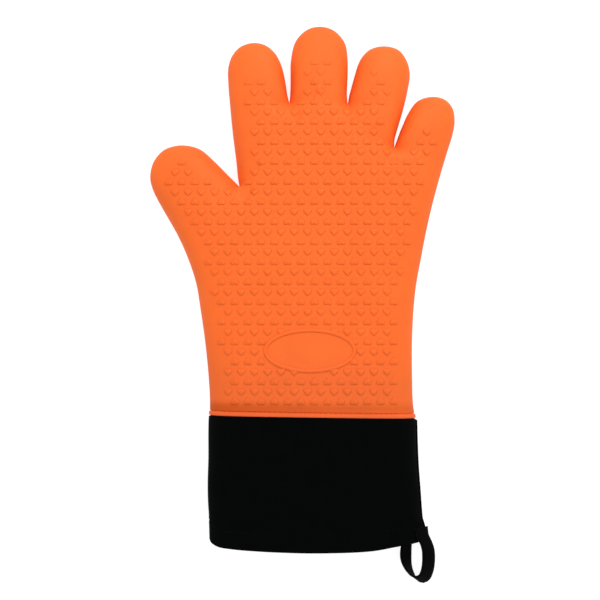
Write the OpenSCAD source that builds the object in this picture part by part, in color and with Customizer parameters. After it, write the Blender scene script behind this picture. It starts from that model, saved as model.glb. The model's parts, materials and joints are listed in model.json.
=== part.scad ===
// Five-finger heat resistant glove, lying on its palm side.
// Frame: +X across the hand (little finger side), +Y to the fingertips, +Z up from the table.
// The origin is on the table, under the middle of the whole glove.

/* [Layers] */
// Wall of the moulded silicone shell
shell_wall = 2.0; // [1.6:0.1:2.4]
// Thickness of the wadding that slows the heat
wadding_wall = 1.3; // [1.0:0.1:1.6]
// Thickness of the cotton lining next to the hand
lining_wall = 0.8; // [0.6:0.1:1.0]
// Thickness of the woven outer cloth of the cuff
cloth_wall = 1.2; // [0.8:0.1:1.4]
// Free space between two layers
layer_gap = 0.3; // [0.3:0.1:0.4]

/* [Hand] */
// Height of a finger above the table
digit_h = 25; // [23:1:27]
// Height of the hand at its thickest
palm_h = 30; // [28:1:32]
// Height of the shell at its lower rim
rim_h = 26; // [24:1:27]
// How far the rim bead stands out of the shell at each side
bead_out = 1.3; // [0.8:0.1:1.6]
// Length of the rim bead along the hand
bead_l = 4; // [3:0.5:5]

/* [Cuff] */
// Length of the cloth cuff below the rim
cuff_l = 92; // [80:1:95]
// Height of the cuff's mouth, outside
mouth_h = 23; // [21:1:25]
// How far the hem bows out in the middle
hem_bow = 6; // [3:0.5:8]
// Width of the doubled hem
hem_l = 14; // [10:1:18]

/* [Hanging loop] */
// Width of the hanging tape
tape_w = 10; // [8:0.5:11]
// Thickness of the hanging tape
tape_t = 1.1; // [0.9:0.1:1.4]
// How far the loop hangs below its hinge line
loop_l = 24.8; // [22:0.2:25]
// Angle of the loop's plane from the table
loop_turn = 49; // [45:1:55]

/* [Joints] */
// Free space across a finger joint
joint_gap = 0.4; // [0.3:0.1:0.6]
// The furthest that the cuff bends up or down
cuff_bend = 25; // [15:1:25]

/* [Hidden] */

orange = [1.0, 0.35, 0.1];
grey = [0.35, 0.35, 0.37];
black = [0.03, 0.03, 0.03];

// A layer is [inset of its outer face, inset of its inner face].
silicone = [0, shell_wall];
wadding = [silicone[1] + layer_gap, silicone[1] + layer_gap + wadding_wall];
lining = [wadding[1] + layer_gap, wadding[1] + layer_gap + lining_wall];

// Levels along the hand
rim_y = -77;
rim_left = -63.4;
rim_right = 76.0;
cuff_axis_z = 12;
past = 20; // how far a cutting solid runs past what it cuts
digit_reach = 80; // longer than any digit is beyond its joint

// One digit: the tip, the lean from +Y in degrees (+ is towards +X), the half widths at the base and
// where the tip's rounding starts, the length of that rounding, the whole length, and tip to joint.
thumb = [[-94.7, 103.7], -38, 31, 22.3, 22.3, 82, 36];
index = [[-33.3, 177.8], -6.3, 20.4, 19.2, 22.4, 115, 37];
middle = [[11.4, 189.2], 0, 19.6, 19.5, 23, 125, 47];
ring = [[58.4, 174.6], 12.3, 18.9, 18.6, 21, 115, 41];
little = [[91.3, 139.6], 16.9, 17.6, 17.4, 18, 85, 29.5];
DIGITS = [thumb, index, middle, ring, little];

// One section of the hand: y, left edge, right edge, height, slope of the section behind the little finger.
HAND = [
    [rim_y, rim_left + bead_out, rim_right - bead_out, rim_h, 0],
    [-45, -64, 74.8, 28, 0],
    [0, -69.4, 76.2, palm_h, 0],
    [32, -77.5, 80.8, palm_h, 0],
    [50, -74, 84, palm_h, 0],
    [70, -52, 88, palm_h - 0.5, 0.1],
    [92, -38, 91, palm_h - 1.5, 0.35],
    [110, -36, 91, 24, 0.55],
    [119, -33, 88, 15, 0.62],
    [122.5, -28, 84, 5, 0.65]
];
slope_from = 32; // x where the sections start to slope
front_y = 100; // past here the hand closes between the fingers

// One section of the cuff: share of its length, left edge, right edge, height, bow of the edge.
CUFF = [
    [0, rim_left, rim_right + 0.6, rim_h + 1, 0],
    [0.3, rim_left - 0.3, rim_right + 1.4, 25.5, 0],
    [0.7, rim_left - 0.4, rim_right + 2.6, 24, hem_bow * 0.5],
    [0.93, rim_left + 0.5, rim_right + 4.4, mouth_h, hem_bow * 0.9],
    [1, rim_left + 2.6, rim_right + 5.2, mouth_h - 1, hem_bow]
];

hand_steps = 28;
digit_steps = 16;
tip_angles = [0, 24, 46, 66, 84]; // where a rounded tip has its rings
root_full = 8; // how far behind its joint a digit keeps its full height
root_share = 0.8; // the share of that height that is left at its root, inside the hand
flat_power = 2.6; // how square the hand's section is
cuff_power = 2.15;
digit_power = 2.15;
flat_cut = 1.06; // how much taller a section would be with its underside uncut
least_half = 1.5; // half of the thinnest section's size, which falls a little with each layer

function inner_half(half, inset) = max(half - inset, least_half - inset * 0.2);

// ---- Lofting ----

// A closed solid through rings of points, all with the same number of points. Going from the first ring
// to the last, each ring runs clockwise.
module skin(rings) {
    n = len(rings[0]);
    last = len(rings) - 1;
    polyhedron(
        points = [for (r = rings) each r],
        faces = concat(
            [[for (i = [0 : n - 1]) i]],
            [for (k = [0 : last - 1], i = [0 : n - 1]) [k * n + i, (k + 1) * n + i, k * n + (i + 1) % n]],
            [for (k = [0 : last - 1], i = [0 : n - 1])
                [(k + 1) * n + i, (k + 1) * n + (i + 1) % n, k * n + (i + 1) % n]],
            [[for (i = [n - 1 : -1 : 0]) last * n + i]]
        ),
        convexity = 6
    );
}

function signed_power(v, e) = sign(v) * pow(abs(v), e);

// A point of a superellipse, from -1 to 1 each way, whose underside is cut flat.
function rounded_square(a, power) =
    [signed_power(cos(a), 2 / power), max(signed_power(sin(a), 2 / power) * flat_cut, -1)];

function hand_ring(s, inset) = [
    for (i = [0 : hand_steps - 1])
        let (p = rounded_square(-360 * i / hand_steps, flat_power),
             x = (s[1] + s[2]) / 2 + p[0] * inner_half((s[2] - s[1]) / 2, inset),
             lift = s[0] > front_y ? (palm_h - s[3]) * 0.4 : 0)
        [x,
         s[0] - s[4] * max(x - slope_from, 0) - (s[0] > front_y ? inset : 0),
         s[3] / 2 + lift + p[1] * inner_half(s[3] / 2, inset)]
];

// The hand without its digits. A layer's inner solid runs on past the rim.
module hand_loft(inset, run_on = 0) {
    first = HAND[0];
    skin(concat(
        run_on > 0 ? [hand_ring([first[0] - run_on, first[1], first[2], first[3], 0], inset)] : [],
        [for (s = HAND) hand_ring(s, inset)]
    ));
}

function along(d) = [sin(d[1]), cos(d[1])];
function across(d) = [cos(d[1]), -sin(d[1])];

// A ring of a digit, back from its tip. The shares of its width and height round the tip and sink the root.
function digit_ring(d, back, half_w, inset, share_w, share_h) = [
    for (i = [0 : digit_steps - 1])
        let (p = rounded_square(-360 * i / digit_steps, digit_power),
             q = p[0] * (half_w - inset) * share_w,
             at = d[0] - back * along(d) + q * across(d))
        [at[0], at[1], digit_h / 2 + p[1] * (digit_h / 2 - inset) * share_h]
];

// A whole digit, from its root inside the hand to its tip.
module digit_loft(d, inset) {
    cap = d[4];
    full = d[6] + root_full;
    skin(concat(
        [digit_ring(d, d[5], d[2], inset, 1, root_share)],
        [digit_ring(d, full, half_at(d, full), inset, 1, 1)],
        [for (a = tip_angles)
            digit_ring(d, inset + (cap - inset) * (1 - sin(a)), d[3], inset, cos(a), cos(a))]
    ));
}

// A digit's half width at a distance back from its tip.
function half_at(d, back) = d[3] + (d[2] - d[3]) * (back - d[4]) / (d[5] - d[4]);

// The space that a digit takes on its tip's side of the joint, which starts half a gap from the joint.
module tip_side(d, gap) {
    at = d[0] - (d[6] - gap / 2) * along(d);
    half = half_at(d, d[6]) + 0.8;
    translate([at[0], at[1], -past])
        rotate(-d[1])
            translate([-half, 0, 0])
                cube([2 * half, digit_reach, palm_h + 2 * past]);
}

// ---- Silicone, wadding and lining of the hand ----

module hand_solid(inset, run_on = 0) {
    hand_loft(inset, run_on);
    for (d = DIGITS)
        digit_loft(d, inset);
}

module hand_layer(layer) {
    difference() {
        hand_solid(layer[0]);
        hand_solid(layer[1], past);
        for (d = DIGITS)
            tip_side(d, -joint_gap);
    }
}

module digit_layer(d, layer) {
    intersection() {
        difference() {
            digit_loft(d, layer[0]);
            digit_loft(d, layer[1]);
        }
        tip_side(d, joint_gap);
    }
}

// The bead that stiffens the shell's lower rim.
module rim_bead() {
    difference() {
        skin([
            hand_ring([rim_y, rim_left + 0.6, rim_right - 0.6, rim_h, 0], 0),
            hand_ring([rim_y + bead_l * 0.35, rim_left, rim_right, rim_h + bead_out, 0], 0),
            hand_ring([rim_y + bead_l * 0.7, rim_left, rim_right, rim_h + bead_out, 0], 0),
            hand_ring([rim_y + bead_l, rim_left + bead_out, rim_right - bead_out, rim_h, 0], 0)
        ]);
        hand_loft(shell_wall / 2, past);
    }
}

module palm_shell() {
    color(orange)
        union() {
            hand_layer(silicone);
            rim_bead();
        }
}

module palm_wadding() {
    color(grey)
        hand_layer(wadding);
}

module palm_lining() {
    color(black)
        hand_layer(lining);
}

module digit_shell(d) {
    color(orange)
        digit_layer(d, silicone);
}

module digit_wadding(d) {
    color(grey)
        digit_layer(d, wadding);
}

module digit_lining(d) {
    color(black)
        digit_layer(d, lining);
}

// ---- Where the shell meets the cuff ----

tape_reach = 10; // length of the tape over the inside of the seam
tape_wall = 1.0;
tape_past = 2; // how far it reaches past the shell's rim
seam_pitch = 7.6;
thread_r = 0.35;
stitches = 15; // in each row
stitch_share = 0.6; // the share of the pitch that a stitch takes

module seam_tape_solid(inset, more) {
    skin([for (y = [rim_y - tape_past - more, rim_y - tape_past + tape_reach + more])
        hand_ring([y, HAND[0][1], HAND[0][2], rim_h, 0], inset)]);
}

// A tape over the inside of the seam, where the shell and the cuff are sewn together.
module seam_tape() {
    color(black)
        difference() {
            seam_tape_solid(lining[1] + layer_gap, 0);
            seam_tape_solid(lining[1] + layer_gap + tape_wall, 1);
        }
}

// How far a section's face is from its middle height, at a share of the half width.
function face_at(height, power, u) = height / 2 * pow(1 - pow(abs(u), power), 1 / power);

// One stitch along X, half sunk in the face, and always above the table.
module stitch(x, y, z) {
    translate([x, y, max(z, thread_r * 1.1)])
        rotate([0, 90, 0])
            cylinder(r = thread_r, h = seam_pitch * stitch_share, center = true, $fn = 24);
}

// The stitches behind the rim bead, on the upper and the lower face.
module rim_stitching() {
    mid = (rim_left + rim_right) / 2;
    half = (rim_right - rim_left) / 2 - bead_out;
    color(orange)
        for (k = [0 : stitches - 1], face = [1, -1])
            let (x = (k - (stitches - 1) / 2) * seam_pitch)
            stitch(mid + x, rim_y + bead_l + 2,
                rim_h / 2 + face * face_at(rim_h + 0.3, flat_power, x / half));
}

// ---- Cuff ----

function cuff_ring(s, inset, more = 0) = [
    for (i = [0 : hand_steps - 1])
        let (p = rounded_square(360 * i / hand_steps, cuff_power),
             half = (s[2] - s[1]) / 2)
        [(s[1] + s[2]) / 2 + p[0] * (half - inset),
         rim_y - joint_gap - s[0] * (cuff_l - hem_bow) - s[4] * (1 - p[0] * p[0]) - more,
         s[3] / 2 + p[1] * (s[3] / 2 - inset)]
];

function cuff_between(a, b, t) = a + (b - a) * t;

// The cuff from one share of its length to another, as a solid.
module cuff_solid(inset, from = 0, to = 1, run_on = 0) {
    first = cuff_section(from);
    last = cuff_section(to);
    skin(concat(
        [cuff_ring(first, inset, -run_on)],
        [for (s = CUFF) if (s[0] > from && s[0] < to) cuff_ring(s, inset)],
        [cuff_ring(last, inset, run_on)]
    ));
}

// The section of the cuff at a share of its length.
function cuff_section(t) =
    let (k = [for (i = [0 : len(CUFF) - 2]) if (t >= CUFF[i][0] && t <= CUFF[i + 1][0]) i][0])
    cuff_between(CUFF[k], CUFF[k + 1], (t - CUFF[k][0]) / (CUFF[k + 1][0] - CUFF[k][0]));

cloth = [0, cloth_wall];
cuff_wad = [cloth_wall + layer_gap, cloth_wall + layer_gap + wadding_wall];
cuff_line = [cuff_wad[1] + layer_gap, cuff_wad[1] + layer_gap + lining_wall];
hem_share = hem_l / cuff_l;

// What the cuff leaves free beyond the rim, so that it can bend up and down about its axis.
module bend_clearance() {
    wide = 200;
    deep = 40;
    translate([-wide / 2, rim_y - joint_gap, cuff_axis_z])
        for (side = [1, -1])
            rotate([side * cuff_bend, 0, 0])
                translate([0, 0, side > 0 ? -1 : -deep + 1])
                    cube([wide, deep, deep]);
}

module cuff_layer(layer, from, to) {
    difference() {
        cuff_solid(layer[0], from, to);
        cuff_solid(layer[1], from, to, 1);
        bend_clearance();
    }
}

module cuff_cloth() {
    color(black)
        cuff_layer(cloth, 0, 1);
}

module cuff_wadding() {
    color(grey)
        cuff_layer(cuff_wad, 0, 1 - hem_share);
}

module cuff_lining() {
    color(black)
        cuff_layer(cuff_line, 0, 1 - hem_share);
}

// The outer cloth turned in at the mouth.
module cuff_hem() {
    color(black)
        cuff_layer([cloth_wall + layer_gap, cloth_wall + layer_gap + cloth_wall], 1 - hem_share + 0.01, 0.995);
}

// The stitches that hold the hem, on the upper and the lower face.
module hem_stitching() {
    section = cuff_section(1 - hem_share * 0.8);
    mid = (section[1] + section[2]) / 2;
    half = (section[2] - section[1]) / 2;
    color(black)
        for (k = [0 : stitches - 1], face = [1, -1])
            let (x = (k - (stitches - 1) / 2) * seam_pitch, u = x / half)
            stitch(mid + x,
                rim_y - joint_gap - section[0] * (cuff_l - hem_bow) - section[4] * (1 - u * u),
                section[3] / 2 + face * face_at(section[3], cuff_power, u));
}

// ---- Side seam and hanging loop ----

hinge = [77.6, -164.5, 11]; // where the loop swings, between its two sewn ends
loop_half = 9; // half the distance between its legs at the widest
end_share = 0.68; // how far its ends close in again
loop_relief = 5.2; // free length that lets its ends swing
tab_end = [79.4, -152.5, 12.6]; // where the sewn ends meet at the corner of the cuff
tab_apart = 2.4; // half the distance between them there

// The ridge of the cuff's only seam, on the little finger side.
module side_seam() {
    ridge_r = 0.9;
    color(black)
        hull()
            for (share = [0.12, 0.84])
                let (s = cuff_section(share))
                translate([s[2] + ridge_r + 0.2, rim_y - share * (cuff_l - hem_bow), s[3] / 2])
                    rotate([90, 0, 0])
                        cylinder(r = ridge_r, h = 0.5, center = true, $fn = 16);
}

function unit(v) = v / norm(v);

// A strip of tape along a path, with its width along a fixed direction.
module tape(path, width_dir, wide, thick) {
    last = len(path) - 1;
    skin([for (i = [0 : last])
        let (forward = unit(path[min(i + 1, last)] - path[max(i - 1, 0)]),
             side = unit(cross(width_dir, forward)))
        [for (c = [[-1, -1], [1, -1], [1, 1], [-1, 1]])
            path[i] + c[0] * side * thick / 2 + c[1] * width_dir * wide / 2]]);
}

loop_across = [cos(loop_turn), 0, sin(loop_turn)];
loop_side = [-sin(loop_turn), 0, cos(loop_turn)];

// The loop's path: two legs that swell apart, and a round bottom.
loop_path = [
    for (i = [-10 : 10])
        let (a = i / 10,
             spread = sin(a * 90) * (1 - (1 - end_share) * pow(abs(a), 6)),
             fall = pow(cos(a * 90), 0.8))
        hinge + loop_across * spread * loop_half
            - [0, loop_relief + fall * (loop_l - loop_relief - tape_t / 2), 0]
];

module hanging_loop() {
    color(black)
        tape(loop_path, loop_side, tape_w, tape_t);
}

// The two sewn ends of the tape, which close in on the corner of the cuff, outside and inside it.
module loop_tab() {
    color(black)
        for (side = [1, -1])
            tape([
                hinge + side * loop_across * loop_half * end_share,
                tab_end + side * loop_across * tab_apart
            ], loop_side, tape_w, tape_t);
}

// The thread bars across the outer sewn end.
module loop_bartack() {
    bars = 4;
    spread = 5; // length along the tape that the bars take
    out = tab_end + loop_across * (tab_apart + tape_t / 2);
    color(grey)
        for (k = [0 : bars - 1])
            translate(out - [0, (k - 0.5) * spread / bars, 0])
                rotate([0, -loop_turn, 0])
                    cylinder(r = thread_r, h = tape_w * 0.8, center = true, $fn = 24);
}

palm_shell();
palm_wadding();
palm_lining();
seam_tape();
rim_stitching();
digit_shell(thumb);  // thumb_shell
digit_shell(index);  // index_shell
digit_shell(middle);  // middle_shell
digit_shell(ring);  // ring_shell
digit_shell(little);  // little_shell
digit_wadding(thumb);  // thumb_wadding
digit_wadding(index);  // index_wadding
digit_wadding(middle);  // middle_wadding
digit_wadding(ring);  // ring_wadding
digit_wadding(little);  // little_wadding
digit_lining(thumb);  // thumb_lining
digit_lining(index);  // index_lining
digit_lining(middle);  // middle_lining
digit_lining(ring);  // ring_lining
digit_lining(little);  // little_lining
cuff_cloth();
cuff_wadding();
cuff_lining();
cuff_hem();
hem_stitching();
side_seam();
loop_tab();
loop_bartack();
hanging_loop();
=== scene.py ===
import json
import math

import bmesh
import bpy
import numpy as np
from mathutils import Matrix, Vector, noise
from mathutils.kdtree import KDTree


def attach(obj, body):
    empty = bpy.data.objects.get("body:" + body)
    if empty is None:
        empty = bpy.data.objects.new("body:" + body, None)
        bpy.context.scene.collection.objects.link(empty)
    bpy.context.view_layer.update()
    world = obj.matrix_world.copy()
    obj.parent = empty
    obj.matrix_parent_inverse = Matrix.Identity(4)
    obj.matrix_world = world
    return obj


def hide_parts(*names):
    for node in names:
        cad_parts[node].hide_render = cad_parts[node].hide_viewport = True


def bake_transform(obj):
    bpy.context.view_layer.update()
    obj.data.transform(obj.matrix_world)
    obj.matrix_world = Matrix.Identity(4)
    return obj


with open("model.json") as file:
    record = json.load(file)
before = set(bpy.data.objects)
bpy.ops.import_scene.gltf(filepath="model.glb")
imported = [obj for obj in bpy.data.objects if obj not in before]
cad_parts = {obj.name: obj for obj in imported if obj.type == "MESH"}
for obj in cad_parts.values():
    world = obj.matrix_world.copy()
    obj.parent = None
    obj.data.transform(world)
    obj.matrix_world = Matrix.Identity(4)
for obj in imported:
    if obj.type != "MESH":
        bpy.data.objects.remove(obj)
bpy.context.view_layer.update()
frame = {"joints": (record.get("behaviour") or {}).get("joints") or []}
mm = 0.001
scene = bpy.context.scene
joints = {j["name"]: j for j in frame["joints"]}

# outline of the glove, lying flat, in millimetres
# Clockwise from the cuff's left side, with a soft curve through the points.

cuffLeft = [(-61.5, -200), (-62.6, -155), (-63.6, -138), (-63.9, -121), (-63.4, -100), (-63.3, -80)]
palmLeft = [
    (-62.6, -68), (-63.4, -51), (-65.7, -27), (-69.2, -2), (-71.9, 14),
    (-77, 30), (-84.3, 46.6), (-93.6, 63), (-98.1, 71),
]
thumbTip = [
    (-101.6, 78.5), (-103.3, 86.5), (-101, 96.9), (-94, 105), (-84.5, 108.1), (-76, 107.7),
    (-68.5, 105), (-59.2, 96.9), (-51.1, 88.7),
]
indexTip = [
    (-43.6, 86), (-44.7, 97), (-47.2, 117), (-48.8, 133.6), (-50.2, 151), (-50.2, 161), (-47.3, 169.5),
    (-41.8, 175.2), (-33.3, 177.8), (-25, 176.3), (-18.5, 171), (-13.9, 162.2), (-11.1, 150), (-10, 142.5),
]
middleTip = [
    (-8.1, 142.5), (-7.9, 150), (-7.9, 157), (-7.7, 165), (-5.2, 177.1), (-0.9, 183.5), (5, 187.5),
    (12, 188.8), (19, 187.5), (24.6, 183.9), (29.4, 177.1), (31, 167), (31.1, 157), (30.8, 150),
    (30.5, 142.5),
]
ringTip = [
    (32.2, 142.5), (34.2, 150), (36, 156.5), (38, 163), (41.4, 169), (46.8, 173.7), (56, 175.5),
    (65.3, 173.1), (70.9, 166.3), (73.3, 157), (71.9, 146), (68.6, 132), (64.2, 117), (62.9, 112),
]
littleTip = [
    (64.6, 112), (66.4, 117), (68.4, 121.8), (71.9, 129.5), (78.2, 138), (87.5, 141.2), (96.5, 139.6),
    (102.3, 133.6), (103.8, 125), (102.6, 116.5),
]
palmRight = [
    (97.9, 101), (93.1, 84.7), (87.4, 63), (83.8, 46.6), (80.7, 30.3), (77.7, 14),
    (75.9, -2.4), (74.8, -26), (74.9, -51), (75.5, -68),
]
cuffRight = [
    (77.4, -80), (77.5, -94), (78.2, -110), (79.4, -126), (80.4, -140), (81, -145.5), (82.4, -150),
    (83.4, -156), (83.6, -200),
]
crotches = [(-42.6, 80.2), (-8.6, 136.8), (31, 136), (62.7, 106.8)]
# below each crotch a crease runs on between the digits and fades out here
creaseEnds = [(-39.8, 76.8), (-6.6, 128.6), (30.5, 125.4), (61.1, 100.4)]
crease = dict(depth=0.3, fade=13, fadeEase=1.3, reach=20, sharpness=3)

height = dict(
    partingLine=12.5,  # height of the mould's parting line above the table
    abovePalm=17.6,  # how far the back of the hand rises above that line
    aboveRim=14.2,
    aboveMouth=10.6,
    palmEnds=20,  # where the back starts to fall towards the rim, and over what length
    palmToRim=95,
    rimToMouth=86,
    restingFace=0.75,  # height of the palm face, which leaves room for its studs
    lowest=0.05,  # everything stays this far above the table
    backSoftness=26,  # the smaller, the squarer the section
    palmSoftness=13,
    palmFlatness=1.28,  # how soon the palm face comes down to the table, and how sharply it turns there
    palmTurn=12,
)
rim = dict(
    y=-75.8, slope=-0.015, x=6.5, leanFrom=-40, leanLength=30, bead=0.8, beadAtSide=0.45, beadHalf=1.3,
    beadFrom=-0.2, flankHalf=8, groove=0.55, grooveAt=3.1, grooveHalf=0.4, hollow=0.45, hollowAt=5.4,
    hollowHalf=2.4, cutFrom=0.2, cuts=34, cutStep=0.25,
)
mouth = dict(y=-164)


def curveThrough(points, step):
    # a centripetal curve, which doesn't overshoot
    out = []
    ends = [np.array(p, float) for p in points]
    ends = [2 * ends[0] - ends[1], *ends, 2 * ends[-1] - ends[-2]]
    for i in range(1, len(ends) - 2):
        p0, p1, p2, p3 = ends[i - 1:i + 3]
        t1 = np.linalg.norm(p1 - p0) ** 0.5
        t2 = t1 + np.linalg.norm(p2 - p1) ** 0.5
        t3 = t2 + np.linalg.norm(p3 - p2) ** 0.5
        count = max(2, int(np.linalg.norm(p2 - p1) / step))
        for t in np.linspace(t1, t2, count, endpoint=False):
            a1 = (t1 - t) / t1 * p0 + t / t1 * p1
            a2 = (t2 - t) / (t2 - t1) * p1 + (t - t1) / (t2 - t1) * p2
            a3 = (t3 - t) / (t3 - t2) * p2 + (t - t2) / (t3 - t2) * p3
            b1 = (t2 - t) / t2 * a1 + t / t2 * a2
            b2 = (t3 - t) / (t3 - t1) * a2 + (t - t1) / (t3 - t1) * a3
            out.append((t2 - t) / (t2 - t1) * b1 + (t - t1) / (t2 - t1) * b2)
    out.append(ends[-2])
    return out


def gloveOutline(step=1.4):
    runs = [
        cuffLeft + palmLeft + thumbTip + [crotches[0]],
        [crotches[0]] + indexTip + [crotches[1]],
        [crotches[1]] + middleTip + [crotches[2]],
        [crotches[2]] + ringTip + [crotches[3]],
        [crotches[3]] + littleTip + palmRight + cuffRight,
    ]
    points = []
    for run in runs:
        points += curveThrough(run, step)[:-1]
    points.append(np.array(cuffRight[-1], float))
    return np.array(points)


outline = gloveOutline()


def softDepth(xy):
    # How deep a point lies inside the outline: the distance near an edge, and a smooth rise further in
    # (the harmonic mean of the distances in every direction). Outside it is 0.
    xy = np.asarray(xy, float)
    depth = np.zeros(len(xy))
    nextPoint = np.roll(outline, -1, axis=0)
    for first in range(0, len(xy), 4000):
        p = xy[first:first + 4000, None, :]
        a, b = outline[None] - p, nextPoint[None] - p
        ra, rb = np.hypot(a[..., 0], a[..., 1]) + 1e-9, np.hypot(b[..., 0], b[..., 1]) + 1e-9
        cross = a[..., 0] * b[..., 1] - a[..., 1] * b[..., 0]
        dot = a[..., 0] * b[..., 0] + a[..., 1] * b[..., 1]
        halfTan = cross / (ra * rb + dot + 1e-12)
        inside = np.arctan2(cross, dot).sum(1)
        weight = np.abs((halfTan * (1 / ra + 1 / rb)).sum(1))
        # the angles sum to a full turn inside the outline, to half a turn on it and to nothing outside
        depth[first:first + 4000] = np.where(np.abs(inside) > 3.5, 2 / (weight + 1e-12), 0)
    for crotch, end in zip(crotches, creaseEnds):
        along = np.array(end) - crotch
        share = np.clip(((xy - crotch) @ along) / (along @ along), 0, 1)
        gap = np.linalg.norm(xy - crotch - share[:, None] * along, axis=1)
        gap += crease["depth"] + crease["fade"] * share ** crease["fadeEase"]
        near = (gap < crease["reach"]) & (depth > 0)
        power = -crease["sharpness"]
        depth[near] = (depth[near] ** power + gap[near] ** power) ** (1 / power)
    return depth


def nearestOutline(xy):
    a, b = outline, np.roll(outline, -1, axis=0)
    ab = b - a
    out = np.zeros((len(xy), 2))
    for i, p in enumerate(np.asarray(xy, float)):
        t = np.clip(((p - a) * ab).sum(1) / np.maximum((ab * ab).sum(1), 1e-9), 0, 1)
        q = a + t[:, None] * ab
        out[i] = q[np.argmin(((q - p) ** 2).sum(1))]
    return out


def mix(a, b, t):
    return a + (b - a) * np.clip(t, 0, 1)


def smoothMix(a, b, t):
    t = np.clip(t, 0, 1)
    return a + (b - a) * t * t * (3 - 2 * t)


def faceHeight(xy, side, inset=0):
    # z of the glove's back (side 1) or palm face (side -1) in millimetres, or of a layer inside it
    xy = np.asarray(xy, float)
    d, y = np.maximum(softDepth(xy) - inset, 0), xy[:, 1]
    if side > 0:
        fall = (height["palmEnds"] - y) / height["palmToRim"]
        rise = smoothMix(height["abovePalm"], height["aboveRim"], fall)
        rise = mix(rise, height["aboveMouth"], (rim["y"] - y) / height["rimToMouth"]) - inset
        return height["partingLine"] + rise * np.sqrt(1 - np.exp(-2 * d / height["backSoftness"]))
    share = height["palmFlatness"] * np.sqrt(1 - np.exp(-2 * d / height["palmSoftness"]))
    turn = height["palmTurn"]
    share = share / (1 + share ** turn) ** (1 / turn)
    return height["partingLine"] - (height["partingLine"] - height["restingFace"] - inset) * share


def rimY(x):
    return rim["y"] + rim["slope"] * (x - rim["x"])


print("outline has", len(outline), "points")

# skins: closed walls that follow the glove's form


def flatSheet(cell, inset):
    # a grid cut to the outline, or to a line inside it, with an even strip along its edge
    strip = cell * 0.95
    room = inset + strip * 0.8
    lo, hi = outline.min(0) - cell, outline.max(0) + cell
    nx, ny = int((hi[0] - lo[0]) / cell), int((hi[1] - lo[1]) / cell)
    bm = bmesh.new()
    bmesh.ops.create_grid(bm, x_segments=nx, y_segments=ny, size=0.5)
    size, centre = hi - lo, (hi + lo) / 2
    bmesh.ops.scale(bm, vec=(size[0], size[1], 1), verts=bm.verts)
    bmesh.ops.translate(bm, vec=(centre[0], centre[1], 0), verts=bm.verts)
    xy = np.array([v.co[:2] for v in bm.verts])
    depth = softDepth(xy)
    keep = depth > room
    close = keep & (depth < inset + 3 * cell)
    away = np.zeros(len(xy))
    away[close] = np.linalg.norm(xy[close] - nearestOutline(xy[close]), axis=1)
    keep &= ~(close & (away < room))
    bmesh.ops.delete(bm, geom=[v for v, k in zip(list(bm.verts), keep) if not k], context="VERTS")
    loose = [f for f in bm.faces if sum(e.is_boundary for e in f.edges) > 2]
    bmesh.ops.delete(bm, geom=loose, context="FACES")
    bmesh.ops.delete(bm, geom=[v for v in bm.verts if not v.link_faces], context="VERTS")

    def moveTo(verts, gap):
        near = nearestOutline([v.co[:2] for v in verts])
        for v, q in zip(verts, near):
            inward = Vector((v.co.x - q[0], v.co.y - q[1], 0)).normalized()
            v.co = Vector((q[0], q[1], 0)) + inward * gap

    edge = [v for v in bm.verts if v.is_boundary]
    moveTo(edge, inset + strip)
    ring = set(edge)
    for _ in range(3):
        ring |= {e.other_vert(v) for v in list(ring) for e in v.link_edges}
    inner = [v for v in ring if not v.is_boundary]
    for _ in range(6):
        bmesh.ops.smooth_vert(bm, verts=inner, factor=0.5, use_axis_x=True, use_axis_y=True)
    rimEdges = [e for e in bm.edges if e.is_boundary]
    made = bmesh.ops.extrude_edge_only(bm, edges=rimEdges)["geom"]
    outer = [g for g in made if isinstance(g, bmesh.types.BMVert)]
    moveTo(outer, inset)
    spokes = [e for v in outer for e in v.link_edges if not e.is_boundary]
    bmesh.ops.subdivide_edges(bm, edges=list(set(spokes)), cuts=2, use_grid_fill=True)
    return bm


def closedForm(cell, inset=0):
    # the back and the palm face, joined along the parting line
    bm = flatSheet(cell, inset)
    backVerts = list(bm.verts)
    made = bmesh.ops.duplicate(bm, geom=list(bm.verts) + list(bm.edges) + list(bm.faces))
    palmFaces = [g for g in made["geom"] if isinstance(g, bmesh.types.BMFace)]
    palmVerts = [g for g in made["geom"] if isinstance(g, bmesh.types.BMVert)]
    bmesh.ops.reverse_faces(bm, faces=palmFaces)
    for verts, side in ((backVerts, 1), (palmVerts, -1)):
        z = faceHeight([v.co[:2] for v in verts], side, inset)
        for v, h in zip(verts, z):
            v.co.z = height["partingLine"] if v.is_boundary else h
    bmesh.ops.remove_doubles(bm, verts=[v for v in bm.verts if v.is_boundary], dist=0.01)
    bmesh.ops.recalc_face_normals(bm, faces=bm.faces)
    return bm


def cutAcross(bm, y, keep):
    # cuts straight across at y, and keeps the side towards the fingers (1) or the mouth (-1)
    geom = list(bm.verts) + list(bm.edges) + list(bm.faces)
    bmesh.ops.bisect_plane(
        bm, geom=geom, plane_co=(0, y, 0), plane_no=(0, 1, 0), dist=0.0005,
        clear_inner=keep == 1, clear_outer=keep == -1,
    )


def cutStrip(bm, y, step, count):
    # cuts evenly spaced lines across, for fine relief along an edge
    for k in range(count):
        cutAcross(bm, y + step * k, 0)


def keepAboveTable(bm):
    for v in bm.verts:
        v.co.z = max(v.co.z, height["lowest"])


def shiftAlongNormals(bm, amount):
    bm.normal_update()
    moves = [(v, v.normal.copy()) for v in bm.verts]
    for v, n in moves:
        v.co += n * (amount(v.co) if callable(amount) else amount)


# digits

digitNames = ["thumb", "index", "middle", "ring", "little"]
handParts = [(-1, "palm"), *enumerate(digitNames)]
# half width that each digit takes, where the next one hasn't started
digitReach = dict(thumb=27.1, index=20.7, middle=20.2, ring=19.9, little=18.4)
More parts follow.
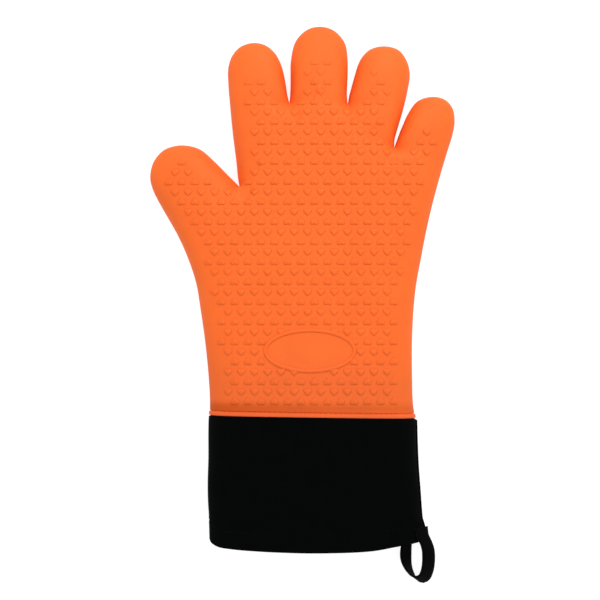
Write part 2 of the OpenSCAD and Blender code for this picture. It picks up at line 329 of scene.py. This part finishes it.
# where its bending wall starts and ends, from its joint: just past the crotches beside it
digitBend = dict(thumb=(-13.5, 13.5), index=(-6, 21), middle=(-5, 22), ring=(-2.5, 22), little=(-10, 14))


def digitFrame(name):
    j = joints[name + "_flex"]
    pivot = Vector(j["pos_m"]) / mm
    across = -Vector(j["axis"])
    along = Vector((-across.y, across.x, 0))
    return pivot, along, across


digitFrames = {name: digitFrame(name) for name in digitNames}


def digitsAt(points):
    # for each point the number of the digit that it belongs to, or -1 on the palm
    points = np.asarray(points, float)
    best, out = np.full(len(points), 1.0), np.full(len(points), -1)
    for i, name in enumerate(digitNames):
        pivot, along, across = digitFrames[name]
        rel = points[:, :2] - np.array(pivot.xy)
        share = np.abs(rel @ np.array(across.xy)) / digitReach[name]
        mine = (rel @ np.array(along.xy) > digitBend[name][0]) & (share < best)
        out[mine], best[mine] = i, share[mine]
    return out


def cutDigits(bm):
    # cuts the form across where each digit's bend starts
    for name in digitNames:
        pivot, along, across = digitFrames[name]
        start = pivot + along * digitBend[name][0]
        faces = list(bm.faces)
        rel = np.array([f.calc_center_median() for f in faces]) - np.array(start)
        near = np.abs(rel @ np.array(along)) < 5
        near &= np.abs(rel @ np.array(across)) < digitReach[name] + 1
        faces = [f for f, n in zip(faces, near) if n]
        geom = set(faces) | {e for f in faces for e in f.edges} | {v for f in faces for v in f.verts}
        bmesh.ops.bisect_plane(bm, geom=list(geom), plane_co=start, plane_no=along, dist=0.02)


def splitOff(bm, number):
    # a copy of the form with only one digit, or only the palm (-1)
    part = bm.copy()
    which = digitsAt([f.calc_center_median() for f in part.faces])
    drop = [f for f, w in zip(list(part.faces), which) if w != number]
    bmesh.ops.delete(part, geom=drop, context="FACES")
    return part


def keepNormals(bm):
    bm.normal_update()
    layer = bm.verts.layers.float_vector.new("formNormal")
    for v in bm.verts:
        v[layer] = v.normal


def addWall(bm, wall):
    # turns an open surface into a wall; each point of the inner face lies straight behind its outer one
    bm.normal_update()
    behind = {v: v.co - v.normal * wall for v in bm.verts}
    made = bmesh.ops.extrude_face_region(bm, geom=list(bm.faces), use_keep_orig=True)["geom"]
    inner = [g for g in made if isinstance(g, bmesh.types.BMVert)]
    # the copied points still lie on their originals
    tree = KDTree(len(behind))
    spots = list(behind.values())
    for i, v in enumerate(behind):
        tree.insert(v.co, i)
    tree.balance()
    for v in inner:
        v.co = spots[tree.find(v.co)[1]]
    bmesh.ops.recalc_face_normals(bm, faces=bm.faces)


def makePiece(bm, name, material, smooth=True):
    # turns millimetres into metres and gives the piece its material
    bmesh.ops.scale(bm, vec=(mm, mm, mm), verts=bm.verts)
    mesh = bpy.data.meshes.new(name)
    for f in bm.faces:
        f.smooth = smooth
    normals = None
    layer = bm.verts.layers.float_vector.get("formNormal")
    if layer:
        bm.normal_update()
        normals = [v[layer].copy() if v[layer].dot(v.normal) > 0.3 else v.normal.copy() for v in bm.verts]
    bm.to_mesh(mesh)
    bm.free()
    if normals:
        mesh.attributes.remove(mesh.attributes["formNormal"])
        mesh.normals_split_custom_set_from_vertices([n.normalized() for n in normals])
    mesh.materials.append(material)
    piece = bpy.data.objects.new(name, mesh)
    scene.collection.objects.link(piece)
    return piece


def fixToHand(piece, part):
    # the palm's pieces ride on the hand; a digit's piece stays where it is made
    if part == "palm":
        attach(piece, "hand")
        return
    pivot, along, across = digitFrames[part]
    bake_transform(piece)


# materials


def newMaterial(name):
    material = bpy.data.materials.new(name)
    material.use_nodes = True
    tree = material.node_tree
    return material, tree, tree.nodes["Principled BSDF"]


def node(tree, kind, **values):
    made = tree.nodes.new(kind)
    for key, value in values.items():
        if key in made.inputs:
            made.inputs[key].default_value = value
        else:
            setattr(made, key, value)
    return made


silicone = dict(
    colour=(0.93, 0.152, 0.022, 1),
    bead=(0.80, 0.125, 0.030, 1),
    # painted shade: the lower part of the back and the palm face is coloured darker towards the lower edge
    lowerPalmShade=(0.80, 0.135, 0.024, 1),
    nearRim=(0.56, 0.075, 0.003, 1),  # where the black cuff is seen through the thin wall; towards the left side this colour is also painted shade
    lowerShadeFade=(60, 10),  # where the colours come in, in millimetres above the lower edge
    rimFade=(12, 4.5),
    beadEdge=(2.5, 3.2),
    roughness=0.58,
    grain=1500,
)


def siliconeMaterial():
    material, tree, shader = newMaterial("silicone")
    link = tree.links.new
    shader.inputs["Roughness"].default_value = silicone["roughness"]
    shader.inputs["Specular IOR Level"].default_value = 0.16
    shader.inputs["Subsurface Weight"].default_value = 0.1
    shader.inputs["Subsurface Radius"].default_value = (1.0, 0.3, 0.1)
    shader.inputs["Subsurface Scale"].default_value = 0.002
    place = node(tree, "ShaderNodeTexCoord")
    split = node(tree, "ShaderNodeSeparateXYZ")
    link(place.outputs["Object"], split.inputs[0])
    # metres above the shell's lower edge, which runs a little aslant
    above = node(tree, "ShaderNodeMath", operation="MULTIPLY_ADD")
    above.inputs[1].default_value = -rim["slope"]
    link(split.outputs["X"], above.inputs[0])
    link(split.outputs["Y"], above.inputs[2])
    cloud = node(tree, "ShaderNodeTexNoise", Scale=38.0, Detail=3.0, Roughness=0.5)
    link(place.outputs["Object"], cloud.inputs["Vector"])

    def band(start, end, low, high):
        # runs smoothly from low at start to high at end, in millimetres above the lower edge
        made = node(tree, "ShaderNodeMapRange", interpolation_type="SMOOTHSTEP")
        base = rim["y"] - rim["slope"] * rim["x"]
        made.inputs["From Min"].default_value = (start + base) * mm
        made.inputs["From Max"].default_value = (end + base) * mm
        made.inputs["To Min"].default_value = low
        made.inputs["To Max"].default_value = high
        link(above.outputs[0], made.inputs["Value"])
        return made.outputs["Result"]

    def times(a, b):
        made = node(tree, "ShaderNodeMath", operation="MULTIPLY")
        link(a, made.inputs[0])
        link(b, made.inputs[1])
        return made.outputs[0]

    def towards(under, over, amount):
        # inputs 6 and 7 of a colour mix are its two colours
        made = node(tree, "ShaderNodeMix", data_type="RGBA")
        if isinstance(under, tuple):
            made.inputs[6].default_value = under
        else:
            link(under, made.inputs[6])
        made.inputs[7].default_value = over
        link(amount, made.inputs[0])
        return made.outputs[2]

    # painted shade: the dark band near the lower edge is strongest on the left side and weaker towards the
    # right
    uneven = node(tree, "ShaderNodeMapRange")
    uneven.inputs["From Min"].default_value = -0.06
    uneven.inputs["From Max"].default_value = 0.075
    uneven.inputs["To Min"].default_value = 1.0
    uneven.inputs["To Max"].default_value = 0.45
    link(split.outputs["X"], uneven.inputs["Value"])
    # painted shade: the colour darkens over the last 60 mm above the lower edge
    colour = towards(silicone["colour"], silicone["lowerPalmShade"], band(*silicone["lowerShadeFade"], 0, 0.8))
    nearRim = times(band(*silicone["rimFade"], 0, 0.95), band(*silicone["beadEdge"], 0, 1))
    # the near-rim colour goes on through this mask: partly the cuff seen through the wall, partly painted
    # shade on the left side
    cuffSeenAndShade = times(nearRim, uneven.outputs["Result"])
    colour = towards(colour, silicone["nearRim"], cuffSeenAndShade)
    colour = towards(colour, silicone["bead"], band(*silicone["beadEdge"][::-1], 0, 0.9))
    tone = node(tree, "ShaderNodeMapRange")
    tone.inputs["From Min"].default_value = 0.3
    tone.inputs["From Max"].default_value = 0.7
    tone.inputs["To Min"].default_value = 0.955
    tone.inputs["To Max"].default_value = 1.02
    link(cloud.outputs["Fac"], tone.inputs["Value"])
    shade = node(tree, "ShaderNodeVectorMath", operation="SCALE")
    link(colour, shade.inputs[0])
    link(tone.outputs["Result"], shade.inputs["Scale"])
    link(shade.outputs[0], shader.inputs["Base Color"])
    fine = node(tree, "ShaderNodeTexNoise", Scale=silicone["grain"], Detail=2.0, Roughness=0.6)
    link(place.outputs["Object"], fine.inputs["Vector"])
    bump = node(tree, "ShaderNodeBump", Strength=0.12, Distance=0.0001)
    link(fine.outputs["Fac"], bump.inputs["Height"])
    link(bump.outputs["Normal"], shader.inputs["Normal"])
    return material


def clothMaterial(name, colour, pitch, roughness=0.9, gloss=0.03, sheen=0.02, bumpDepth=0.00008):
    # a plain weave with uneven threads; colour is its middle tone
    material, tree, shader = newMaterial(name)
    link = tree.links.new
    shader.inputs["Roughness"].default_value = roughness
    shader.inputs["Specular IOR Level"].default_value = gloss
    shader.inputs["Sheen Weight"].default_value = sheen
    shader.inputs["Sheen Roughness"].default_value = 0.5
    place = node(tree, "ShaderNodeTexCoord")
    waves = []
    for axis in ("X", "Y"):
        wave = node(tree, "ShaderNodeTexWave", wave_type="BANDS", bands_direction=axis)
        wave.inputs["Scale"].default_value = 1 / pitch / math.pi
        wave.inputs["Distortion"].default_value = 0.6
        wave.inputs["Detail"].default_value = 1.0
        wave.inputs["Detail Scale"].default_value = 2.0
        link(place.outputs["Object"], wave.inputs["Vector"])
        waves.append(wave)
    weave = node(tree, "ShaderNodeMath", operation="MULTIPLY")
    link(waves[0].outputs["Fac"], weave.inputs[0])
    link(waves[1].outputs["Fac"], weave.inputs[1])
    worn = node(tree, "ShaderNodeTexNoise", Scale=90.0, Detail=4.0, Roughness=0.65)
    link(place.outputs["Object"], worn.inputs["Vector"])
    amount = node(tree, "ShaderNodeMath", operation="MULTIPLY_ADD")
    amount.inputs[1].default_value = 0.8
    link(weave.outputs[0], amount.inputs[0])
    link(worn.outputs["Fac"], amount.inputs[2])
    tint = node(tree, "ShaderNodeMix", data_type="RGBA")
    tint.inputs[6].default_value = [c * 0.35 for c in colour[:3]] + [1]
    tint.inputs[7].default_value = [min(1, c * 1.5) for c in colour[:3]] + [1]
    link(amount.outputs[0], tint.inputs[0])
    link(tint.outputs[2], shader.inputs["Base Color"])
    bump = node(tree, "ShaderNodeBump", Strength=0.6, Distance=bumpDepth)
    link(weave.outputs[0], bump.inputs["Height"])
    link(bump.outputs["Normal"], shader.inputs["Normal"])
    return material


siliconeFinish = siliconeMaterial()
cuffFinish = clothMaterial("cuffCloth", (0.0011, 0.0014, 0.0013), 0.00055, gloss=0.014)
liningFinish = clothMaterial("liningCotton", (0.012, 0.012, 0.013), 0.0008, gloss=0.1, sheen=0.1)
waddingFinish = clothMaterial("wadding", (0.5, 0.48, 0.44), 0.002, gloss=0.1, sheen=0.3, bumpDepth=0.0004)
seamFinish = clothMaterial("seamTape", (0.02, 0.02, 0.021), 0.0009, gloss=0.1, sheen=0.1)
tapeFinish = clothMaterial("loopTape", (0.0013, 0.0015, 0.0014), 0.0011, gloss=0.02, bumpDepth=0.00014)
threadFinish = clothMaterial("blackThread", (0.0026, 0.0027, 0.0028), 0.0003, gloss=0.05)
orangeThreadFinish = clothMaterial("orangeThread", (0.46, 0.062, 0.006), 0.0003, gloss=0.15)
print("materials are made")

# silicone shell

shell = dict(cell=1.54, wall=2.0)


def rimRelief(co):
    # how far the shell's face stands out (bead) or in (groove) near its lower edge
    s = co.y - rimY(co.x)
    fromBead = abs(s - rim["beadHalf"]) / rim["beadHalf"]
    # the bead and the hollow are lower along the sides of the hand
    flank = 1 - abs(co.z - height["partingLine"]) / rim["flankHalf"]
    proud = mix(rim["bead"], rim["beadAtSide"], flank)
    out = proud * max(0, 1 - fromBead ** 3) ** 0.5 if s > rim["beadFrom"] else 0
    dip = (s - rim["grooveAt"]) / rim["grooveHalf"]
    wide = (s - rim["hollowAt"]) / rim["hollowHalf"]
    hollow = rim["hollow"] * math.exp(-wide * wide) * (1 - max(0, flank))
    return out - rim["groove"] * math.exp(-dip * dip) - hollow


def leanAlongRim(bm, way):
    # slants the shell's lower end along its edge (1), or takes the slant away (-1)
    for v in bm.verts:
        share = float(np.clip((rim["leanFrom"] - v.co.y) / rim["leanLength"], 0, 1))
        v.co.y += way * rim["slope"] * (v.co.x - rim["x"]) * share


# heart studs

hearts = dict(
    width=5.7, tall=5.3, up=0.8, shoulder=0.6, sink=0.4, corners=14, slope=0.42, roundness=0.3,
    pitch=8.9, rowPitch=13.4, x=-0.75, pointUp=-65.0, pointDown=-58.3, rows=19, columns=14,
    side=11.6, crotch=6.5, crotchSlack=1.5, faintFrom=112, faintTo=170, faintest=0.4,
)
# where each fingertip ends, and how far from there the studs stop
fingertips = [(-93, 106, 15), (-33.3, 177.8, 22), (12, 188.8, 20), (57, 175.5, 20), (90, 141, 20)]
oval = dict(
    x=5.3, y=-30.8, halfLong=29.9, halfShort=13.7, beadHalf=1.4, beadUp=0.95, sections=120, clear=1.0,
)


def heartPoint(angle):
    # a heart that stands on its point, softened towards a circle
    x = math.sin(angle) ** 3
    y = 13 * math.cos(angle) - 5 * math.cos(2 * angle) - 2 * math.cos(3 * angle) - math.cos(4 * angle)
    y = y / 15 + 0.1
    share = hearts["roundness"]
    x, y = x + (math.sin(angle) - x) * share, y + (math.cos(angle) - y) * share
    return x * hearts["width"] / 2, y * hearts["tall"] / 2


def insideOval(x, y, grow):
    across, along = oval["halfLong"] + grow, oval["halfShort"] + grow
    return ((x - oval["x"]) / across) ** 2 + ((y - oval["y"]) / along) ** 2 < 1


def studPlaces():
    # the studs' centres, and whether each heart's point is up
    spots = []
    for row in range(hearts["rows"]):
        for column in range(-hearts["columns"], hearts["columns"] + 1):
            x = hearts["x"] + column * hearts["pitch"]
            spots.append((x, hearts["pointUp"] + row * hearts["rowPitch"], True))
            spots.append((x + hearts["pitch"] / 2, hearts["pointDown"] + row * hearts["rowPitch"], False))
    xy = np.array([spot[:2] for spot in spots])
    inside = softDepth(xy) > 1
    away = np.linalg.norm(xy - nearestOutline(xy), axis=1)
    # they come closer to the crotches than to the sides
    fromCrotch = np.min([np.linalg.norm(xy - np.array(c), axis=1) for c in crotches], axis=0)
    atCrotch = (fromCrotch < away + hearts["crotchSlack"]) & (away > hearts["crotch"])
    free = inside & ((away > hearts["side"]) | atCrotch)
    for *tip, clear in fingertips:
        free &= np.linalg.norm(xy - np.array(tip), axis=1) > clear
    return [spot for spot, ok in zip(spots, free) if ok]


allStuds = studPlaces()
studDigits = digitsAt([spot[:2] + (0,) for spot in allStuds])
print("studs on each face:", len(allStuds))


def addStuds(bm, number):
    # raised hearts on the back and the palm face, which follow the form under them
    for side in (1, -1):
        spots = [spot for spot, n in zip(allStuds, studDigits) if n == number]
        if side > 0:
            spots = [spot for spot in spots if not insideOval(spot[0], spot[1], oval["clear"])]
        if not spots:
            continue
        studs = bmesh.new()
        for x, y, pointUp in spots:
            turn = Matrix.Rotation(math.pi if pointUp else 0, 4, "Z")
            place = Matrix.Translation((x, y, 0)) @ turn
            made = bmesh.ops.create_circle(studs, cap_ends=True, segments=hearts["corners"], radius=1)
            for v in made["verts"]:
                v.co = place @ Vector((*heartPoint(math.atan2(v.co.x, v.co.y)), 0))
        raised = bmesh.ops.extrude_face_region(studs, geom=list(studs.faces), use_keep_orig=True)["geom"]
        tops = [g for g in raised if isinstance(g, bmesh.types.BMFace)]
        for v in studs.verts:
            v.co.z = -hearts["sink"]
        for f in tops:
            for v in f.verts:
                v.co.z = hearts["up"] * hearts["shoulder"]
        bmesh.ops.inset_individual(studs, faces=tops, thickness=hearts["slope"])
        for f in tops:
            for v in f.verts:
                v.co.z = hearts["up"]
        bmesh.ops.recalc_face_normals(studs, faces=studs.faces)
        base = faceHeight([v.co[:2] for v in studs.verts], side)
        fade = np.array([v.co.y for v in studs.verts]) - hearts["faintFrom"]
        faint = smoothMix(1, hearts["faintest"], fade / (hearts["faintTo"] - hearts["faintFrom"]))
        for v, h, f in zip(studs.verts, base, faint):
            v.co.z = h + side * v.co.z * (float(f) if v.co.z > 0 else 1)
        if side < 0:
            bmesh.ops.reverse_faces(studs, faces=studs.faces)
        mesh = bpy.data.meshes.new("studs")
        studs.to_mesh(mesh)
        studs.free()
        bm.from_mesh(mesh)
        bpy.data.meshes.remove(mesh)


shellForm = closedForm(shell["cell"])
leanAlongRim(shellForm, -1)
cutStrip(shellForm, rim["y"] + rim["cutFrom"], rim["cutStep"], rim["cuts"])
cutAcross(shellForm, rim["y"], 1)
leanAlongRim(shellForm, 1)
shiftAlongNormals(shellForm, rimRelief)
keepAboveTable(shellForm)
cutDigits(shellForm)
keepNormals(shellForm)
for number, name in handParts:
    part = splitOff(shellForm, number)
    addWall(part, shell["wall"])
    addStuds(part, number)
    piece = makePiece(part, name + "Shell", siliconeFinish)
    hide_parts(name + "_shell")
    fixToHand(piece, name)
    print(piece.name, len(piece.data.polygons), "faces")
shellForm.free()

# oval frame on the back of the hand


def makeOval():
    bm = bmesh.new()
    turnRadius = 10
    stand = Matrix.Translation((turnRadius, 0, 0)) @ Matrix.Rotation(math.pi / 2, 4, "X")
    bmesh.ops.create_circle(bm, segments=12, radius=1, cap_ends=False, matrix=stand)
    bmesh.ops.spin(
        bm, geom=list(bm.verts) + list(bm.edges), cent=(0, 0, 0), axis=(0, 0, 1),
        angle=math.tau, steps=oval["sections"], use_merge=True,
    )
    for v in bm.verts:
        angle = math.atan2(v.co.y, v.co.x)
        out, up = math.hypot(v.co.x, v.co.y) - turnRadius, v.co.z
        point = Vector((oval["halfLong"] * math.cos(angle), oval["halfShort"] * math.sin(angle)))
        away = Vector((math.cos(angle) / oval["halfLong"], math.sin(angle) / oval["halfShort"])).normalized()
        point += away * out * oval["beadHalf"]
        v.co = (oval["x"] + point.x, oval["y"] + point.y, up * oval["beadUp"])
    base = faceHeight([v.co[:2] for v in bm.verts], 1)
    for v, h in zip(bm.verts, base):
        v.co.z += h
    bmesh.ops.recalc_face_normals(bm, faces=bm.faces)
    return makePiece(bm, "ovalFrame", siliconeFinish)


ovalFrame = makeOval()
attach(ovalFrame, "hand")

# cuff

cuff = dict(
    cell=1.9, wall=1.0, underShell=3, proud=0.3, tuck=2.3, tuckLength=1.0,
    hem=13.5, hemWall=1.0, hemStep=0.3, hemStepLength=1.2, hemInset=1.25,
    stitchAt=11.6, stitchDip=0.3, stitchDipHalf=0.8,
    rimCutFrom=1.2, rimCuts=14, rimCutStep=0.2, hemCutFrom=9.5, hemCuts=20, hemCutStep=0.32,
    leanFrom=-112, leanLength=35, straightTo=-116, mouthEase=1.6,
)
# soft waves in the cloth: how high, the size of the broad and the fine ones, and how soon they start
waver = dict(up=0.4, size=26, stretch=0.7, depth=11, fine=0.45, fineSize=(11, 17, 9), start=12)
mouthEdge = np.array(curveThrough([
    (-64, -154), (-62.6, -158.4), (-60.8, -161.6), (-56.5, -163.7), (-49, -164.8), (-33.3, -166.1),
    (5.4, -167.5), (46.2, -166.2), (63.2, -163.4), (74.8, -161.4), (84, -159.3),
], 1))


def mouthY(x):
    return float(np.interp(x, mouthEdge[:, 0], mouthEdge[:, 1]))


def bendWithCuff(piece):
    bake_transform(piece)


def shapeCuff(bm):
    # its upper edge follows the shell's, and its mouth follows the mouth's curve
    for v in bm.verts:
        x, y = v.co.x, v.co.y
        share = float(np.clip((y - cuff["leanFrom"]) / cuff["leanLength"], 0, 1))
        v.co.y += rim["slope"] * (x - rim["x"]) * share
        share = float(np.clip((cuff["straightTo"] - y) / (cuff["straightTo"] - mouth["y"]), 0, 1))
        v.co.y += (mouthY(x) - mouth["y"]) * share ** cuff["mouthEase"]


def clothRelief(co):
    # tucked in under the shell, a step along the hem, a little wavy in between
    s = rimY(co.x) - co.y
    tuck = float(smoothMix(cuff["tuck"], -cuff["proud"], s / cuff["tuckLength"]))
    fromMouth = co.y - mouthY(co.x)
    above = (fromMouth - cuff["hem"]) / cuff["hemStepLength"] + 0.5
    hem = cuff["hemStep"] * float(smoothMix(1, 0, above))
    dip = (fromMouth - cuff["stitchAt"]) / cuff["stitchDipHalf"]
    size, fine = waver["size"], waver["fineSize"]
    # the 4 and the 9 only choose two different places in the noise
    at = Vector((co.x / size, co.y / size * waver["stretch"], co.z / waver["depth"] + 4))
    wave = noise.noise(at)
    wave += waver["fine"] * noise.noise(Vector((co.x / fine[0], co.y / fine[1], co.z / fine[2] + 9)))
    wave *= waver["up"] * min(1, max(0, s) / waver["start"])
    return hem - tuck - cuff["stitchDip"] * math.exp(-dip * dip) + wave


def cuffLayer(name, form, wall, finish, cadNode, inset=0.0, relief=None, tops=None, bottoms=None):
    part = form.copy()
    if tops is not None:
        cutAcross(part, tops, -1)
    if bottoms is not None:
        cutAcross(part, bottoms, 1)
    shapeCuff(part)
    if relief:
        shiftAlongNormals(part, relief)
    if inset:
        shiftAlongNormals(part, -inset)
    keepAboveTable(part)
    addWall(part, wall)
    piece = makePiece(part, name, finish)
    bendWithCuff(piece)
    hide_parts(cadNode)
    return piece


cuffForm = closedForm(cuff["cell"])
cutAcross(cuffForm, rim["y"] + cuff["underShell"], -1)
cutAcross(cuffForm, mouth["y"], 1)
coarseCuff = cuffForm.copy()
cutStrip(cuffForm, rim["y"] + cuff["rimCutFrom"], -cuff["rimCutStep"], cuff["rimCuts"])
cutStrip(cuffForm, mouth["y"] + cuff["hemCutFrom"], cuff["hemCutStep"], cuff["hemCuts"])
hemTop = mouth["y"] + cuff["hem"]
cuffCloth = cuffLayer(
    "cuffCloth", cuffForm, cuff["wall"], cuffFinish, "cuff_cloth", relief=clothRelief,
)
cuffHem = cuffLayer(
    "cuffHem", coarseCuff, cuff["hemWall"], cuffFinish, "cuff_hem",
    inset=cuff["hemInset"] - cuff["proud"], tops=hemTop,
)
print("cuff is in:", len(cuffCloth.data.polygons), "faces")

# wadding and lining, in the hand and the cuff

liningEnd = dict(out=1.6, length=4.5)
insideTape = dict(wall=0.5, inset=0.8, half=7, flat=(0.283, 0.014))


def meetHem(co):
    # the lining's lower end comes out to the hem and covers the end of the wadding
    above = (co.y - mouthY(co.x) - cuff["hem"]) / liningEnd["length"]
    return liningEnd["out"] * float(smoothMix(1, 0, above))


# handFrom and cuffTo: where the hand's part and the cuff's part end, above the shell's lower edge;
# the cuff cloth is tucked in between the two parts of the wadding
fills = dict(
    wadding=dict(
        cell=2.9, inset=2.3, wall=1.0, finish=waddingFinish, relief=None,
        handFrom=3.6, cuffTo=-2.5, aboveHem=5.5,
    ),
    lining=dict(
        cell=2.9, inset=3.6, wall=0.6, finish=liningFinish, relief=meetHem,
        handFrom=1.5, cuffTo=1, aboveHem=-1,
    ),
)
for label, fill in fills.items():
    form = closedForm(fill["cell"], fill["inset"])
    handForm, cuffPart = form.copy(), form
    cutAcross(handForm, rim["y"] + fill["handFrom"], 1)
    cutDigits(handForm)
    for number, name in handParts:
        part = splitOff(handForm, number)
        addWall(part, fill["wall"])
        piece = makePiece(part, name + label.capitalize(), fill["finish"])
        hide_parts(name + "_" + label)
        fixToHand(piece, name)
    handForm.free()
    piece = cuffLayer(
        "cuff" + label.capitalize(), cuffPart, fill["wall"], fill["finish"], "cuff_" + label,
        relief=fill["relief"], tops=rim["y"] + fill["cuffTo"], bottoms=hemTop + fill["aboveHem"],
    )
    if label == "wadding":
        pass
    else:
        seamTape = cuffLayer(
            "seamTape", cuffPart, insideTape["wall"], seamFinish, "seam_tape",
            inset=insideTape["inset"],
            tops=rim["y"] + insideTape["half"], bottoms=rim["y"] - insideTape["half"],
        )
    cuffPart.free()
print("wadding and lining are in")

# tapes: the hanging loop and the side seam

tape = dict(columns=5, crown=1.2)


def tapeFrames(route, step=1.2):
    # the middle, the width direction and the upward direction at each step along a tape
    path = curveThrough(route, step)
    last = len(path) - 1
    frames = []
    for i, point in enumerate(path):
        ahead = (Vector(path[min(i + 1, last)][:3]) - Vector(path[max(i - 1, 0)][:3])).normalized()
        wideX, wideY = point[3:]
        wide = Vector((wideX, wideY, -math.sqrt(max(0, 1 - wideX ** 2 - wideY ** 2))))
        wide = (wide - ahead * wide.dot(ahead)).normalized()
        frames.append((Vector(point[:3]), wide, ahead.cross(wide).normalized()))
    return frames


def makeTape(name, frames, width, thick, finish):
    # a flat tape, a little crowned across its width
    bm = bmesh.new()
    bmesh.ops.create_grid(bm, x_segments=tape["columns"], y_segments=len(frames) - 1, size=0.5)
    for v in bm.verts:
        share = v.co.x
        at, wide, up = frames[round((v.co.y + 0.5) * (len(frames) - 1))]
        v.co = at + wide * share * width + up * (thick / 2) * (1 - tape["crown"] * share * share)
    bmesh.ops.recalc_face_normals(bm, faces=bm.faces)
    addWall(bm, thick)
    return makePiece(bm, name, finish)


loop = dict(
    width=9.8, thick=1.05, bars=15, barStep=0.45, barHalf=3.2, barStart=4, thread=0.24,
    bendAbove=0.003, bendBelow=0.009,  # how much of the tape, on each side of its hinge, is meant to bend over, in metres
)
# x, y, z and the x and y shares of the width direction
loopRoute = [
    (80.2, -150.6, 17.7, 0.86, 0), (81.1, -156.5, 18, 0.82, 0), (83.1, -161, 18, 0.8, 0),
    (84.6, -165.5, 17.7, 0.85, 0), (85.1, -169.5, 17.3, 0.88, 0), (85.1, -174, 16.7, 0.88, 0),
    (84.7, -178.2, 15.8, 0.89, 0),
    (84, -181.6, 14.1, 0.88, -0.1), (82.7, -184.8, 12.1, 0.8, -0.35), (80.4, -186.5, 10, 0.59, -0.54),
    (77.6, -185.8, 8.2, 0.48, -0.48), (75.2, -182.8, 6.9, 0.4, -0.12), (73.2, -178.8, 6.2, 0.58, -0.06),
    (71.8, -173.5, 5.9, 0.76, 0), (71.7, -168.4, 6, 0.78, 0), (72.3, -163.6, 6.4, 0.72, 0),
    (73.2, -158.4, 7.1, 0.75, 0), (74.2, -153.5, 8, 0.8, 0),
]
loopTape = makeTape("loopTape", tapeFrames(loopRoute), loop["width"], loop["thick"], tapeFinish)
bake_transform(loopTape)
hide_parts("loop_tab", "hanging_loop")

seam = dict(width=5.5, thick=1.0)
seamRoute = [
    (76.8, -78.5), (77.2, -94), (77.9, -110), (79.1, -126), (80.1, -140), (80.7, -145.5), (82.1, -150),
    (83, -156), (83.1, -159.5),
]
seamFrames = tapeFrames([(x, y, height["partingLine"], 0, 0) for x, y in seamRoute])
sideSeam = makeTape("sideSeam", seamFrames, seam["width"], seam["thick"], cuffFinish)
bendWithCuff(sideSeam)
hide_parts("side_seam")
print("tapes are in")

# stitches


def layStitch(bm, a, b, radius):
    # one stitch as a small spindle from a to b
    along = b - a
    turn = along.to_track_quat("X", "Z").to_matrix().to_4x4()
    place = Matrix.Translation((a + b) / 2) @ turn @ Matrix.Diagonal((along.length / 2, radius, radius, 1))
    bmesh.ops.create_uvsphere(bm, u_segments=6, v_segments=5, radius=1, matrix=place)


rimRow = dict(pitch=3.4, length=2.2, thread=0.2, left=-54, right=68, sunk=0.06)
hemRow = dict(pitch=3.1, length=2.1, thread=0.24, left=-52, right=72, raised=0.2)


def stitchRow(name, row, lineY, relief, finish):
    # a row of stitches across the glove's back and palm face
    bm = bmesh.new()
    left, pitch, half = row["left"], row["pitch"], row["length"] / 2
    middles = [left + (k + 0.5) * pitch for k in range(int((row["right"] - left) / pitch))]
    ends = [(x, lineY(x)) for middle in middles for x in (middle - half, middle + half)]
    for side in (1, -1):
        base = faceHeight(ends, side)
        points = [Vector((x, y, h + side * relief)) for (x, y), h in zip(ends, base)]
        for a, b in zip(points[::2], points[1::2]):
            layStitch(bm, a, b, row["thread"])
    return makePiece(bm, name, finish)


rimStitches = stitchRow(
    "rimStitches", rimRow, lambda x: rimY(x) + rim["grooveAt"], -rim["groove"] - rimRow["sunk"],
    orangeThreadFinish,
)
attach(rimStitches, "hand")
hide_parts("rim_stitching")
hemStitches = stitchRow(
    "hemStitches", hemRow, lambda x: mouthY(x) + cuff["stitchAt"], hemRow["raised"], threadFinish,
)
bendWithCuff(hemStitches)
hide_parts("hem_stitching")


def makeBartack():
    # close zigzag stitches that hold the loop's sewn end
    bm = bmesh.new()
    corners = []
    first = loop["barStart"]
    for k, (at, wide, up) in enumerate(tapeFrames(loopRoute, loop["barStep"])[first:first + loop["bars"]]):
        corners.append(at + wide * (loop["barHalf"] if k % 2 else -loop["barHalf"]) + up * loop["thick"] / 2)
    for a, b in zip(corners, corners[1:]):
        layStitch(bm, a, b, loop["thread"])
    return makePiece(bm, "loopBartack", threadFinish)


loopBartack = makeBartack()
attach(loopBartack, "cuff")
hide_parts("loop_bartack")
print("stitches are in")

# floor, light and camera

bpy.ops.mesh.primitive_plane_add(size=6)
floor = bpy.context.object
floor.name = "floor"
floorMaterial, _, floorShader = newMaterial("floorPaper")
floorShader.inputs["Base Color"].default_value = (0.3, 0.3, 0.3, 1)
floorShader.inputs["Roughness"].default_value = 0.9
floorShader.inputs["Emission Color"].default_value = (1, 1, 1, 1)
floorShader.inputs["Emission Strength"].default_value = 0.84
floor.data.materials.append(floorMaterial)

view = dict(x=-0.0014, y=0.0031, lens=85, width=0.408, plane=0.0125)
camera = bpy.data.objects.new("camera", bpy.data.cameras.new("camera"))
scene.collection.objects.link(camera)
camera.data.lens = view["lens"]
camera.data.sensor_width = 36
reach = view["width"] * view["lens"] / 36
camera.location = (view["x"], view["y"], view["plane"] + reach)
scene.camera = camera


def softbox(name, place, aim, size, power):
    light = bpy.data.objects.new(name, bpy.data.lights.new(name, "AREA"))
    light.data.shape = "DISK"
    light.data.size = size
    light.data.energy = power
    light.location = place
    light.rotation_euler = (Vector(aim) - Vector(place)).to_track_quat("-Z", "Y").to_euler()
    scene.collection.objects.link(light)


softbox("keyLight", (0.28, 0.93, 0.95), (0, 0, 0), 0.5, 7.6)
softbox("topLight", (0, -0.1, 1.6), (0, 0, 0), 1.6, 7)
world = bpy.data.worlds.new("studio")
scene.world = world
world.use_nodes = True
world.node_tree.nodes["Background"].inputs["Color"].default_value = (1, 1, 1, 1)
world.node_tree.nodes["Background"].inputs["Strength"].default_value = 0.63
scene.view_settings.view_transform = "Standard"
